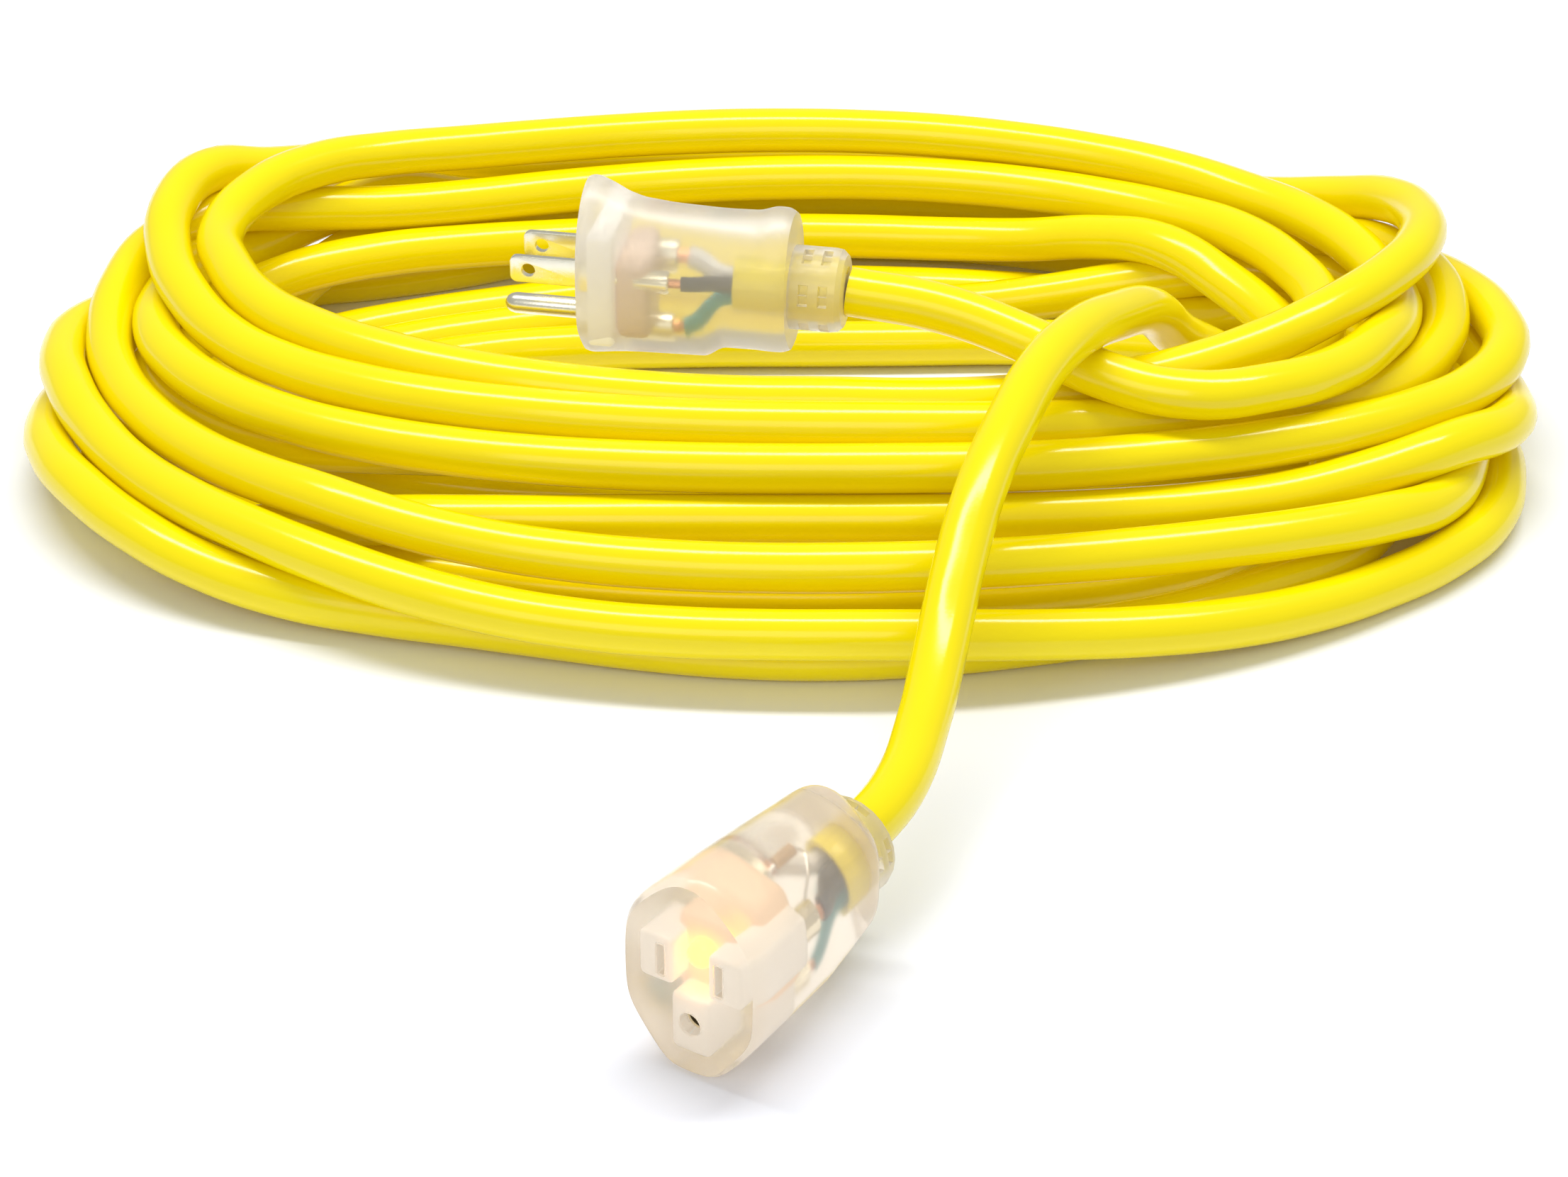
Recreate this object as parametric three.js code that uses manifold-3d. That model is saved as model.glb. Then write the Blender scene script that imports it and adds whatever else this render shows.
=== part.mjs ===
// A heavy-duty three-wire extension cord lying in its storage coil: a moulded clear plug with its blades, a
// moulded clear lighted connector with its contacts, and the round yellow cord between them.
// Units are millimetres, +Z is up, and the coil and the connector lie on z = 0.
import * as THREE from "three";
import { mergeVertices } from "three/addons/utils/BufferGeometryUtils.js";
import Module from "manifold-3d";

const wasm = await Module();
wasm.setup();

// ---- driving dimensions ----
const GAP = 0.3; // clearance between neighbouring pieces

const CORD_D = 11; // outside of the jacket
const JACKET_WALL = 1.1;
const INSULATION_D = 3.5; // outside of one insulated conductor
const COPPER_D = 2.2; // its stranded copper
const CONDUCTOR_RING = 2.3; // from the cord's axis to each conductor's axis

const COIL_CENTRE = [-1.5, 67.5]; // middle of the coil's outline, in the layout's plane
const COIL_HALF_WIDTH = 173;
const COIL_HALF_DEPTH = 116.5;
const COIL_HEIGHT = 42;
const COIL_EDGE = 12; // rounding of the coil's edges
const HOLE_CENTRE = [-1, 73];
const HOLE_HALF_WIDTH = 112;
const HOLE_HALF_DEPTH = 45;

const BLADE_SPACING = 12.7;
const BLADE_HEIGHT = 6.35;
const BLADE_THICKNESS = 1.5;
const BLADE_LENGTH = 16.5; // in front of the plug's face
const BLADE_TIP_CHAMFER = 1.4;
const BLADE_HOLE_D = 3.2;
const BLADE_HOLE_SETBACK = 4.2; // from the blade's tip to the hole's centre
const PIN_D = 4.75;
const PIN_LENGTH = 19.6;
const PIN_DROP = 11.9; // from the line of the blades down to the ground pin
const BLADE_LINE = 2; // from the cord's axis up to the line of the blades

const CRIMP_D = 5;
const CRIMP_LENGTH = 8;
const CRIMP_DEPTH = 6; // of the hole that takes the copper
const COPPER_IN_CRIMP = 5;

const PLUG_FACE = [-43.4, 48.8, 54]; // on the cord's axis, in the layout's frame
const PLUG_HEADING = THREE.MathUtils.degToRad(-101); // turned from facing -Y
const PLUG_LENGTH = 46.5;
const PLUG_COLLAR_D = 18.8;
const PLUG_COLLAR_LENGTH = 12;
const PLUG_CARRIER_HALF_WIDTH = 10.5;
const PLUG_CARRIER_HALF_HEIGHT = 15.5;
const PLUG_CARRIER_DEPTH = 9;
const PLUG_CRIMP_START = -12; // where the blades' flats end and their crimps begin
const PLUG_JACKET_END = -34;

const CONNECTOR_FACE = [-17.2, -175.6, 21.5];
const CONNECTOR_HEADING = THREE.MathUtils.degToRad(-33.7);
const CONNECTOR_LENGTH = 46;
const CONNECTOR_COLLAR_D = 21;
const CONNECTOR_COLLAR_LENGTH = 8.5;
const CONNECTOR_CARRIER_HALF_WIDTH = 12;
const CONNECTOR_CARRIER_HALF_HEIGHT = 16.5;
const CONNECTOR_CARRIER_DEPTH = 20;
const CONNECTOR_JACKET_END = -38;
const SLOT_CLEARANCE = 0.35; // round a blade in its slot
const CONTACT_METAL = 0.8;
const CONTACT_SETBACK = 3.5; // from the connector's face to the contact's mouth
const CONTACT_LENGTH = 14;
const CONTACT_GRIP = 0.1; // a contact's jaws stand this much wider than the blade

const LAMP_D = 5.4;
const LAMP_LENGTH = 10;
const LAMP_SETBACK = 3.5;
const LAMP_HEIGHT = 3.5; // of its axis above the cord's axis
const RESISTOR_D = 2.2;
const RESISTOR_LENGTH = 6;
const RESISTOR_HEIGHT = 9.5;
const RESISTOR_SETBACK = 24;
const LEAD_D = 0.7;
const LEAD_SPREAD = 1; // from the lamp's axis to each of its two leads
const LEAD_TURN = 1.5; // how far behind the contact carrier a lead turns aside
const LEAD_CORNER = 2; // how far ahead of that turn a lead begins to bend
const LEAD_STANDOFF = 0.2; // beyond GAP, between a lead's end and the crimp that it serves
const NEUTRAL_LEAD_BEND = [-2.2, LAMP_HEIGHT - 0.5]; // where the lamp's neutral lead crosses over
const HOT_LEAD_BENDS = [
  [1.5, RESISTOR_HEIGHT - 0.4, -1.4],
  [4.6, RESISTOR_HEIGHT - 1.6, 1.5],
]; // side, height, and distance in front of the resistor's rear
const HOT_LEAD_REACH = 6; // from the resistor's rear to where its lead ends

// Sections of the two moulded bodies from the rear to the face: [z, top, bottom, half width] round the cord's axis.
const PLUG_STATIONS = [
  [-PLUG_LENGTH, 17.2, 14.2, 12.5],
  [-PLUG_LENGTH + 1, 18.2, 14.9, 13.2],
  [-42, 18.3, 15, 13.3],
  [-38.5, 17, 15, 12.8],
  [-31, 16.8, 15.2, 12.4],
  [-27.5, 16.9, 18, 12.4],
  [-19, 17.2, 18.3, 12.4],
  [-12, 18, 18.5, 12.6],
  [-8.5, 19.2, 18.7, 12.9],
  [-5.2, 21, 18.9, 13.8],
  [-2, 22.3, 19, 14.8],
  [-0.8, 22.5, 19, 15],
  [0, 22, 18.6, 14.6],
];
const CONNECTOR_STATIONS = [
  [-CONNECTOR_LENGTH, 16.4, 16, 12.2],
  [-CONNECTOR_LENGTH + 1.5, 17.7, 17.4, 13.2],
  [-38, 18.2, 19.3, 13.8],
  [-28, 19.2, 21.5, 14.8],
  [-14, 20.6, 21.5, 15.7],
  [-3, 21.4, 21.5, 16.2],
  [-1, 21, 21.5, 15.8],
  [0, 20, 20.5, 14.9],
];

// Where the plug's tail passes under the connector's.
const CROSSING_HEIGHT = 54.7; // of the upper tail's axis
const CROSSING_GAP = 1.7; // between the two tails' surfaces
const UNDERPASS_HEIGHT = CROSSING_HEIGHT - CORD_D - CROSSING_GAP; // of the lower tail's axis
// The free stretches of the cord past the two collars, in the layout's frame, chosen by hand.
const PLUG_TAIL = [
  [25, 35.3, 53.4],
  [36, 32.4, 52],
  [47, 28.6, 50.4],
  [57, 23.6, UNDERPASS_HEIGHT + 4.8],
  [66.5, 17.8, UNDERPASS_HEIGHT],
  [76, 12.4, UNDERPASS_HEIGHT - 5],
  [86, 8, UNDERPASS_HEIGHT - 12],
];
const CONNECTOR_TAIL = [
  [18.5, -121.5, 21.2],
  [23, -110, 22],
  [26.5, -97, 23.5],
  [29.3, -84, 26.5],
  [32, -71.5, 31],
  [34.8, -59.5, 37.5],
  [38, -48, 44],
  [42, -36, 49.5],
  [47, -23, 53.2],
  [52.5, -8.5, 55.7],
  [59, 5.5, 56.5],
  [66, 19, CROSSING_HEIGHT],
  [73, 31.5, 51],
  [80, 44, 46.5],
  [87, 55, 37.5],
  [91, 62, 30],
  [95, 68.5, 24.5],
  [102.5, 78.5, 17],
  [113.5, 85.5, 11],
];
const PLUG_TAIL_STEPS = 12;
const CONNECTOR_TAIL_STEPS = 32;
const TAIL_SIDES = 10;

// ---- materials ----
const finish = (color, roughness, metalness = 0) => new THREE.MeshStandardMaterial({ color, roughness, metalness });
const yellowJacket = finish(0xf7e400, 0.35);
const clearPlastic = finish(0xe9e2d4, 0.25);
clearPlastic.transparent = true;
clearPlastic.opacity = 0.45;
const carrierPlastic = finish(0xf3ddc0, 0.4);
const brass = finish(0xd8cb98, 0.28, 1);
const copper = finish(0xc07a45, 0.35, 1);
const blackInsulation = finish(0x2a2c2e, 0.5);
const whiteInsulation = finish(0xeceae4, 0.5);
const greenInsulation = finish(0x2f7f6d, 0.5);
const lampGlass = finish(0xffb84a, 0.15);
const resistorBody = finish(0xc9a878, 0.6);
const tinnedWire = finish(0xb9b7b0, 0.3, 1);

// ---- making and joining solids ----
const MERGE = 1e-4;
const ROUND_SIDES = 20;
const SMALL_SIDES = 10;
const OVAL_POINTS = 32;
const FOOT_SHARE = 0.93; // an oval's foot is cut flat at this share of its depth

// A manifold-3d solid of a closed three.js geometry.
function solid(geometry) {
  const bare = geometry.clone();
  bare.deleteAttribute("normal");
  bare.deleteAttribute("uv");
  const merged = mergeVertices(bare, MERGE);
  const index = merged.index.array;
  const triVerts = [];
  for (let i = 0; i < index.length; i += 3) {
    const [a, b, c] = index.slice(i, i + 3);
    if (a !== b && b !== c && c !== a) triVerts.push(a, b, c);
  }
  const vertProperties = merged.attributes.position.array;
  return new wasm.Manifold(new wasm.Mesh({ numProp: 3, vertProperties, triVerts: new Uint32Array(triVerts) }));
}

// A named three.js mesh of a manifold-3d solid.
function mesh(name, body, material) {
  const made = body.getMesh();
  const geometry = new THREE.BufferGeometry();
  geometry.setAttribute("position", new THREE.BufferAttribute(new Float32Array(made.vertProperties), 3));
  geometry.setIndex(new THREE.BufferAttribute(new Uint32Array(made.triVerts), 1));
  geometry.computeVertexNormals();
  const piece = new THREE.Mesh(geometry, material);
  piece.name = name;
  return piece;
}

const join = (...bodies) => bodies.reduce((all, body) => all.add(body));

// A round bar along Z from one height to another.
function bar(diameter, low, high, x = 0, y = 0, sides = ROUND_SIDES) {
  const geometry = new THREE.CylinderGeometry(diameter / 2, diameter / 2, high - low, sides);
  geometry.rotateX(Math.PI / 2);
  geometry.translate(x, y, (low + high) / 2);
  return solid(geometry);
}

// A round bar with a domed end towards +Z.
function domed(diameter, low, high, x = 0, y = 0) {
  const radius = diameter / 2;
  const profile = [new THREE.Vector2(0, low), new THREE.Vector2(radius, low)];
  for (const turn of [0, 30, 60, 90].map(THREE.MathUtils.degToRad)) {
    const reach = turn < Math.PI / 2 ? radius * Math.cos(turn) : 0;
    profile.push(new THREE.Vector2(reach, high - radius + radius * Math.sin(turn)));
  }
  const geometry = new THREE.LatheGeometry(profile, ROUND_SIDES);
  geometry.rotateX(Math.PI / 2);
  geometry.translate(x, y, 0);
  return solid(geometry);
}

// A box of a width and a height, centred on x and y, along Z from one height to another.
function block(width, height, low, high, x = 0, y = 0) {
  const geometry = new THREE.BoxGeometry(width, height, high - low);
  geometry.translate(x, y, (low + high) / 2);
  return solid(geometry);
}

// An upright oval of half sizes 1, with its foot cut flat.
function unitOval() {
  const outline = [];
  for (let i = 0; i < OVAL_POINTS; i++) {
    const turn = (2 * Math.PI * i) / OVAL_POINTS;
    const height = Math.sin(turn) < 0 ? Math.sin(turn) / FOOT_SHARE : Math.sin(turn);
    outline.push(new THREE.Vector2(Math.cos(turn), Math.max(height, -1)));
  }
  return new THREE.Shape(outline);
}

// An oval body through stations of [z, top, bottom, half width].
function lofted(stations) {
  const steps = stations.length - 1;
  const geometry = new THREE.ExtrudeGeometry(unitOval(), { steps, depth: steps, bevelEnabled: false });
  const place = geometry.attributes.position;
  for (let i = 0; i < place.count; i++) {
    const [z, top, bottom, halfWidth] = stations[Math.round(place.getZ(i))];
    const y = place.getY(i);
    place.setXYZ(i, place.getX(i) * halfWidth, y > 0 ? y * top : y * bottom, z);
  }
  return solid(geometry);
}

const oval = (halfWidth, halfHeight, low, high) =>
  lofted([
    [low, halfHeight, halfHeight, halfWidth],
    [high, halfHeight, halfHeight, halfWidth],
  ]);

const circle = (diameter, sides) =>
  Array.from({ length: sides }, (_, i) => {
    const turn = (2 * Math.PI * i) / sides;
    return new THREE.Vector2((diameter / 2) * Math.cos(turn), (diameter / 2) * Math.sin(turn));
  });

// A round tube along a curve, hollow where a bore is given.
function sweep(extrudePath, diameter, steps, sides, bore = 0) {
  const shape = new THREE.Shape(circle(diameter, sides));
  if (bore) shape.holes.push(new THREE.Path(circle(bore, sides)));
  return solid(new THREE.ExtrudeGeometry(shape, { steps, extrudePath, bevelEnabled: false }));
}

const curveThrough = (points) => new THREE.CatmullRomCurve3(points.map((point) => new THREE.Vector3(...point)));

// The first stretch of a curve, up to a share of its length.
class Stretch extends THREE.Curve {
  constructor(whole, share) {
    super();
    this.whole = whole;
    this.share = share;
  }
  getPoint(t, target) {
    return this.whole.getPointAt(t * this.share, target);
  }
}

// ---- wiring of one end ----
// Positions are in the end's own frame: +Z out of its face, +Y up, and the cord's axis on x = y = 0.
const WIRE_STEPS = 15;
const WIRE_SIDES = 8;
const BARE = 2.5; // copper that shows between the insulation and the crimp
const POLES = {
  hot: { angle: Math.PI / 6, x: BLADE_SPACING / 2, y: BLADE_LINE, insulation: blackInsulation },
  neutral: { angle: (Math.PI * 5) / 6, x: -BLADE_SPACING / 2, y: BLADE_LINE, insulation: whiteInsulation },
  ground: { angle: -Math.PI / 2, x: 0, y: BLADE_LINE - PIN_DROP, insulation: greenInsulation },
};

// One conductor's axis, from the collar's rear through the jacket and out to the depth of its crimp.
function conductorAxis({ angle, x, y }, rear, jacketEnd, crimpMouth) {
  const ring = [CONDUCTOR_RING * Math.cos(angle), CONDUCTOR_RING * Math.sin(angle)];
  const [freeStart, freeEnd] = [jacketEnd + 1, crimpMouth - BARE + 1];
  const reach = (freeEnd - freeStart) / 2;
  const corners = [
    new THREE.Vector3(...ring, rear),
    new THREE.Vector3(...ring, freeStart),
    new THREE.Vector3(...ring, freeStart + reach),
    new THREE.Vector3(x, y, freeEnd - reach),
    new THREE.Vector3(x, y, freeEnd),
    new THREE.Vector3(x, y, crimpMouth + COPPER_IN_CRIMP),
  ];
  const axis = new THREE.CurvePath();
  axis.add(new THREE.LineCurve3(corners[0], corners[1]));
  axis.add(new THREE.CubicBezierCurve3(...corners.slice(1, 5)));
  axis.add(new THREE.LineCurve3(corners[4], corners[5]));
  return axis;
}

// A crimp barrel along Z whose mouth faces the cord.
function crimp({ x, y }, mouth) {
  const barrel = bar(CRIMP_D, mouth, mouth + CRIMP_LENGTH, x, y, SMALL_SIDES);
  return barrel.subtract(bar(COPPER_D + 2 * GAP, mouth - 1, mouth + CRIMP_DEPTH, x, y, SMALL_SIDES));
}

// Conductors and jacket end of one end, and the space that they fill in its moulding.
function wiring(prefix, rear, jacketEnd, crimpMouth) {
  const pieces = [];
  const jacket = bar(CORD_D, rear, jacketEnd).subtract(bar(CORD_D - 2 * JACKET_WALL, rear - 1, jacketEnd + 1));
  pieces.push(mesh(`${prefix}_jacket_end`, jacket, yellowJacket));
  let space = bar(CORD_D + 2 * GAP, rear - 1, jacketEnd + GAP);
  for (const [pole, place] of Object.entries(POLES)) {
    const axis = conductorAxis(place, rear, jacketEnd, crimpMouth);
    const share = 1 - (BARE + COPPER_IN_CRIMP) / axis.getLength();
    const bore = COPPER_D + 2 * GAP;
    const insulated = sweep(new Stretch(axis, share), INSULATION_D, WIRE_STEPS, WIRE_SIDES, bore);
    pieces.push(mesh(`${prefix}_${pole}_conductor`, insulated, place.insulation));
    pieces.push(mesh(`${prefix}_${pole}_copper`, sweep(axis, COPPER_D, WIRE_STEPS, WIRE_SIDES), copper));
    const crimpSpace = bar(CRIMP_D + 2 * GAP, crimpMouth - GAP, crimpMouth + CRIMP_LENGTH, place.x, place.y);
    space = join(space, sweep(axis, INSULATION_D + 3 * GAP, WIRE_STEPS, WIRE_SIDES), crimpSpace);
  }
  return { pieces, space };
}

// ---- the plug ----
const PLUG_REAR = -PLUG_LENGTH - PLUG_COLLAR_LENGTH;
const PLUG_CRIMP_MOUTH = PLUG_CRIMP_START - CRIMP_LENGTH;

function blade({ x, y }) {
  const height = BLADE_HEIGHT / 2;
  const outline = new THREE.Shape();
  outline.moveTo(PLUG_CRIMP_START, -height);
  outline.lineTo(BLADE_LENGTH - BLADE_TIP_CHAMFER, -height);
  outline.lineTo(BLADE_LENGTH, -height + BLADE_TIP_CHAMFER);
  outline.lineTo(BLADE_LENGTH, height - BLADE_TIP_CHAMFER);
  outline.lineTo(BLADE_LENGTH - BLADE_TIP_CHAMFER, height);
  outline.lineTo(PLUG_CRIMP_START, height);
  const eye = new THREE.Path().absarc(BLADE_LENGTH - BLADE_HOLE_SETBACK, 0, BLADE_HOLE_D / 2, 0, 2 * Math.PI);
  outline.holes.push(eye);
  const plate = new THREE.ExtrudeGeometry(outline, { depth: BLADE_THICKNESS, bevelEnabled: false, curveSegments: 8 });
  plate.rotateY(-Math.PI / 2);
  plate.translate(x + BLADE_THICKNESS / 2, y, 0);
  return join(solid(plate), crimp({ x, y }, PLUG_CRIMP_MOUTH));
}

function plugCarrier() {
  const [low, high] = [-PLUG_CARRIER_DEPTH - 1, 1];
  const slot = ({ x, y }) => block(BLADE_THICKNESS + 2 * GAP, BLADE_HEIGHT + 2 * GAP, low, high, x, y);
  const pinHole = bar(PIN_D + 2 * GAP, low, high, POLES.ground.x, POLES.ground.y);
  const body = oval(PLUG_CARRIER_HALF_WIDTH, PLUG_CARRIER_HALF_HEIGHT, -PLUG_CARRIER_DEPTH, 0);
  return body.subtract(join(slot(POLES.hot), slot(POLES.neutral), pinHole));
}

function plugSpace() {
  const depth = -PLUG_CARRIER_DEPTH - GAP;
  const carrier = oval(PLUG_CARRIER_HALF_WIDTH + GAP, PLUG_CARRIER_HALF_HEIGHT + GAP, depth, 1);
  const root = ({ x, y }) =>
    block(BLADE_THICKNESS + 2 * GAP, BLADE_HEIGHT + 2 * GAP, PLUG_CRIMP_START - GAP, -1, x, y);
  const pinRoot = bar(PIN_D + 2 * GAP, PLUG_CRIMP_START - GAP, -1, POLES.ground.x, POLES.ground.y);
  return join(carrier, root(POLES.hot), root(POLES.neutral), pinRoot);
}

function makePlug() {
  const plug = new THREE.Group();
  plug.position.set(...PLUG_FACE);
  plug.rotation.set(Math.PI / 2, 0, PLUG_HEADING, "ZYX");
  const { pieces, space } = wiring("plug", PLUG_REAR, PLUG_JACKET_END, PLUG_CRIMP_MOUTH);
  const collar = bar(PLUG_COLLAR_D, PLUG_REAR, -PLUG_LENGTH + 1);
  const body = join(lofted(PLUG_STATIONS), collar).subtract(join(plugSpace(), space));
  const { x, y } = POLES.ground;
  const pin = join(domed(PIN_D, PLUG_CRIMP_START, PIN_LENGTH, x, y), crimp(POLES.ground, PLUG_CRIMP_MOUTH));
  plug.add(
    mesh("plug_body", body, clearPlastic),
    mesh("plug_blade_carrier", plugCarrier(), carrierPlastic),
    mesh("plug_hot_blade", blade(POLES.hot), brass),
    mesh("plug_neutral_blade", blade(POLES.neutral), brass),
    mesh("plug_ground_pin", pin, brass),
    ...pieces,
  );
  return plug;
}

// ---- the connector ----
const CONNECTOR_REAR = -CONNECTOR_LENGTH - CONNECTOR_COLLAR_LENGTH;
const CONTACT_MOUTH = -CONTACT_SETBACK;
const CONTACT_BACK = CONTACT_MOUTH - CONTACT_LENGTH;
const CONNECTOR_CRIMP_MOUTH = CONTACT_BACK - CRIMP_LENGTH;
const JAW_GAP = BLADE_THICKNESS + 2 * CONTACT_GRIP;
const CONTACT_WIDTH = JAW_GAP + 2 * CONTACT_METAL;
const SOCKET_D = PIN_D + 2 * CONTACT_GRIP;

// A folded contact with two jaws, which grips one blade.
function bladeContact({ x, y }) {
  const folded = block(CONTACT_WIDTH, BLADE_HEIGHT, CONTACT_BACK, CONTACT_MOUTH, x, y);
  const between = block(JAW_GAP, BLADE_HEIGHT + 2, CONTACT_BACK + CONTACT_METAL, 0, x, y);
  return join(folded.subtract(between), crimp({ x, y }, CONNECTOR_CRIMP_MOUTH));
}

// A rolled socket, which grips the ground pin.
function groundContact({ x, y }) {
  const rolled = bar(SOCKET_D + 2 * CONTACT_METAL, CONTACT_BACK, CONTACT_MOUTH, x, y);
  const inside = bar(SOCKET_D, CONTACT_BACK + CONTACT_METAL, 0, x, y);
  return join(rolled.subtract(inside), crimp({ x, y }, CONNECTOR_CRIMP_MOUTH));
}

// The moulded block with the three openings, the contacts' chambers behind them and the lamp's pocket.
function connectorCarrier() {
  const rear = -CONNECTOR_CARRIER_DEPTH - 1;
  const front = CONTACT_MOUTH + GAP;
  const body = oval(CONNECTOR_CARRIER_HALF_WIDTH, CONNECTOR_CARRIER_HALF_HEIGHT, -CONNECTOR_CARRIER_DEPTH, 0);
  const slotWidth = BLADE_THICKNESS + 2 * SLOT_CLEARANCE;
  const slotHeight = BLADE_HEIGHT + 2 * SLOT_CLEARANCE;
  const bladeOpening = ({ x, y }) =>
    join(
      block(slotWidth, slotHeight, front - 1, 1, x, y),
      block(CONTACT_WIDTH + 2 * GAP, BLADE_HEIGHT + 2 * GAP, rear, front, x, y),
      bar(CRIMP_D + 2 * GAP, rear, CONTACT_BACK + GAP, x, y),
    );
  const { x, y } = POLES.ground;
  const pinOpening = join(
    bar(PIN_D + 2 * SLOT_CLEARANCE, front - 1, 1, x, y),
    bar(SOCKET_D + 2 * CONTACT_METAL + 2 * GAP, rear, front, x, y),
  );
  const lampPocket = bar(LAMP_D + 2 * GAP, rear, -LAMP_SETBACK + GAP, 0, LAMP_HEIGHT);
  return body.subtract(join(bladeOpening(POLES.hot), bladeOpening(POLES.neutral), pinOpening, lampPocket));
}

// The neon lamp's glass, its resistor and the three leads that join them across the two blade contacts.
function makeLamp() {
  const lampRear = -LAMP_SETBACK - LAMP_LENGTH;
  const turn = -CONNECTOR_CARRIER_DEPTH - LEAD_TURN;
  const resistorFront = -RESISTOR_SETBACK;
  const resistorRear = resistorFront - RESISTOR_LENGTH;
  const standoff = CRIMP_D / 2 + LEAD_D / 2 + GAP + LEAD_STANDOFF;
  const leads = {
    lamp_resistor_lead: [
      [LEAD_SPREAD, LAMP_HEIGHT, lampRear - GAP],
      [LEAD_SPREAD, LAMP_HEIGHT, turn + LEAD_CORNER],
      [0, RESISTOR_HEIGHT - 1, turn],
      [0, RESISTOR_HEIGHT, resistorFront + GAP],
    ],
    lamp_neutral_lead: [
      [-LEAD_SPREAD, LAMP_HEIGHT, lampRear - GAP],
      [-LEAD_SPREAD, LAMP_HEIGHT, turn + LEAD_CORNER],
      [...NEUTRAL_LEAD_BEND, turn - 1],
      [POLES.neutral.x + standoff, BLADE_LINE, turn - 2.5],
    ],
    resistor_hot_lead: [
      [0, RESISTOR_HEIGHT, resistorRear - GAP],
      ...HOT_LEAD_BENDS.map(([x, y, ahead]) => [x, y, resistorRear + ahead]),
      [POLES.hot.x, BLADE_LINE + standoff, resistorRear + HOT_LEAD_REACH],
    ],
  };
  const resistor = bar(RESISTOR_D, resistorRear, resistorFront, 0, RESISTOR_HEIGHT, SMALL_SIDES);
  const pieces = [
    mesh("lamp_glass", domed(LAMP_D, lampRear, -LAMP_SETBACK, 0, LAMP_HEIGHT), lampGlass),
    mesh("lamp_resistor", resistor, resistorBody),
  ];
  let space = bar(RESISTOR_D + 2 * GAP, resistorRear - GAP, resistorFront + GAP, 0, RESISTOR_HEIGHT, SMALL_SIDES);
  for (const [name, points] of Object.entries(leads)) {
    pieces.push(mesh(name, sweep(curveThrough(points), LEAD_D, WIRE_STEPS, 6), tinnedWire));
    space = join(space, sweep(curveThrough(points), LEAD_D + 4 * GAP, WIRE_STEPS, 6));
  }
  return { pieces, space };
}

function makeConnector() {
  const connector = new THREE.Group();
  connector.position.set(...CONNECTOR_FACE);
  connector.rotation.set(Math.PI / 2, 0, CONNECTOR_HEADING, "ZYX");
  const wires = wiring("connector", CONNECTOR_REAR, CONNECTOR_JACKET_END, CONNECTOR_CRIMP_MOUTH);
  const lamp = makeLamp();
  const collar = bar(CONNECTOR_COLLAR_D, CONNECTOR_REAR, -CONNECTOR_LENGTH + 1);
  const [halfWidth, halfHeight] = [CONNECTOR_CARRIER_HALF_WIDTH + GAP, CONNECTOR_CARRIER_HALF_HEIGHT + GAP];
  const carrierSpace = oval(halfWidth, halfHeight, -CONNECTOR_CARRIER_DEPTH - GAP, 1);
  const spaces = join(carrierSpace, wires.space, lamp.space);
  const body = join(lofted(CONNECTOR_STATIONS), collar).subtract(spaces);
  connector.add(
    mesh("connector_body", body, clearPlastic),
    mesh("connector_contact_carrier", connectorCarrier(), carrierPlastic),
    mesh("connector_hot_contact", bladeContact(POLES.hot), brass),
    mesh("connector_neutral_contact", bladeContact(POLES.neutral), brass),
    mesh("connector_ground_contact", groundContact(POLES.ground), brass),
    ...wires.pieces,
    ...lamp.pieces,
  );
  return connector;
}

// ---- the cord ----
// The outer shape of all the turns, as one oval ring with rounded edges, grown on every side by a clearance.
function coilRing(clearance = 0) {
  const outer = [COIL_HALF_WIDTH - COIL_EDGE + clearance, COIL_HALF_DEPTH - COIL_EDGE + clearance];
  const hole = [HOLE_HALF_WIDTH + COIL_EDGE - clearance, HOLE_HALF_DEPTH + COIL_EDGE - clearance];
  const shape = new THREE.Shape().absellipse(...COIL_CENTRE, ...outer, 0, 2 * Math.PI);
  shape.holes.push(new THREE.Path().absellipse(...HOLE_CENTRE, ...hole, 0, 2 * Math.PI, true));
  const geometry = new THREE.ExtrudeGeometry(shape, {
    depth: COIL_HEIGHT + 2 * clearance - 2 * COIL_EDGE,
    curveSegments: 36,
    bevelThickness: COIL_EDGE,
    bevelSize: COIL_EDGE,
    bevelSegments: 3,
  });
  geometry.translate(0, 0, COIL_EDGE - clearance);
  return solid(geometry);
}

// A free stretch of the cord from an end's collar to the coil, cut where it meets the coil.
function tail(name, end, rear, points, steps) {
  end.updateMatrixWorld(true);
  const start = end.localToWorld(new THREE.Vector3(0, 0, rear - GAP)).toArray();
  const straight = end.localToWorld(new THREE.Vector3(0, 0, rear - CORD_D / 2)).toArray();
  const tube = sweep(curveThrough([start, straight, ...points]), CORD_D, steps, TAIL_SIDES);
  return mesh(name, tube.subtract(coilRing(GAP)), yellowJacket);
}

const plug = makePlug();
const connector = makeConnector();
const layout = new THREE.Group();
layout.add(
  plug,
  connector,
  mesh("cord_coil", coilRing(), yellowJacket),
  tail("cord_plug_tail", plug, PLUG_REAR, PLUG_TAIL, PLUG_TAIL_STEPS),
  tail("cord_connector_tail", connector, CONNECTOR_REAR, CONNECTOR_TAIL, CONNECTOR_TAIL_STEPS),
);

// The origin is on the floor, at the middle of the box round the plug and the connector.
layout.updateMatrixWorld(true);
const ends = new THREE.Box3().expandByObject(plug, true).expandByObject(connector, true);
const middle = ends.getCenter(new THREE.Vector3());
layout.position.set(-middle.x, -middle.y, 0);
const group = new THREE.Group();
group.add(layout);

export default group;
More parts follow.
